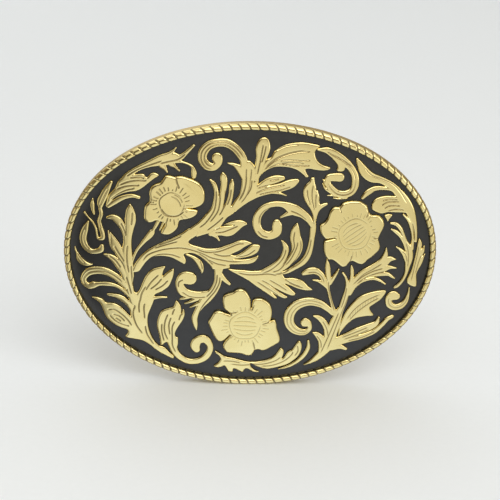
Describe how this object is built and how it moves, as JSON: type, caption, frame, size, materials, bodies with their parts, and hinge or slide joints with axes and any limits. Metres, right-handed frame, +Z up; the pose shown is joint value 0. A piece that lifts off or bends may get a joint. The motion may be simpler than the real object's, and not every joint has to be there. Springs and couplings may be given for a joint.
{
  "type": "belt buckle",
  "caption": "Oval domed dress buckle with raised flowers and leaf scrolls on black enamel, a twisted rope edge, a swinging belt bail and a hook.",
  "frame": {"origin": "centre of the bounding box", "axes": "+Z up, +X to the viewer's right, and the decorated front faces -Y"},
  "size_m": [0.095, 0.0148, 0.0718],
  "materials": {
    "gold_plate": "pale gold plating, polished, with dark lines engraved in it",
    "rope_gold": "pale gold plating, polished on the strands and dark in the grooves",
    "wire_gold": "gold-plated wire, satin",
    "antique_plate": "plated back, brushed and tarnished",
    "black_enamel": "black cold enamel, semi-gloss"
  },
  "bodies": {
    "buckle": {"base_plate": "antique_plate", "enamel_field": "black_enamel", "rope_rim": "rope_gold", "flower_left": "gold_plate", "flower_right": "gold_plate", "flower_bottom": "gold_plate", "spray_left": "gold_plate", "curl_left": "gold_plate", "leaf_left_rim": "gold_plate", "curl_upper_left": "gold_plate", "leaf_upper_left": "gold_plate", "stem_flower_left": "gold_plate", "branch_main": "gold_plate", "leaf_branch_upper": "gold_plate", "leaf_branch_small": "gold_plate", "curl_center": "gold_plate", "scroll_top": "gold_plate", "bud_top": "gold_plate", "leaf_top_right": "gold_plate", "hook_top_right": "gold_plate", "leaf_small_double": "gold_plate", "leaf_vertical": "gold_plate", "scroll_center_right": "gold_plate", "leaf_center_right": "gold_plate", "spray_right_rim": "gold_plate", "leaf_right_rim": "gold_plate", "bud_right": "gold_plate", "leaf_lattice": "gold_plate", "spray_right_lower": "gold_plate", "scroll_bottom_right": "gold_plate", "scroll_right_small": "gold_plate", "scroll_bottom_left": "gold_plate", "leaf_bottom": "gold_plate", "lug_upper": "antique_plate", "lug_lower": "antique_plate", "hook_pad": "antique_plate", "hook_prong": "wire_gold"},
    "bail": {"bail": "wire_gold"}
  },
  "joints": [
    {"name": "bail_swing", "type": "hinge", "parent": "buckle", "child": "bail", "pos_m": [0.01806, 0.00274, 0], "axis": [0, 0, 1], "range_deg": [0, 190]}
  ]
}
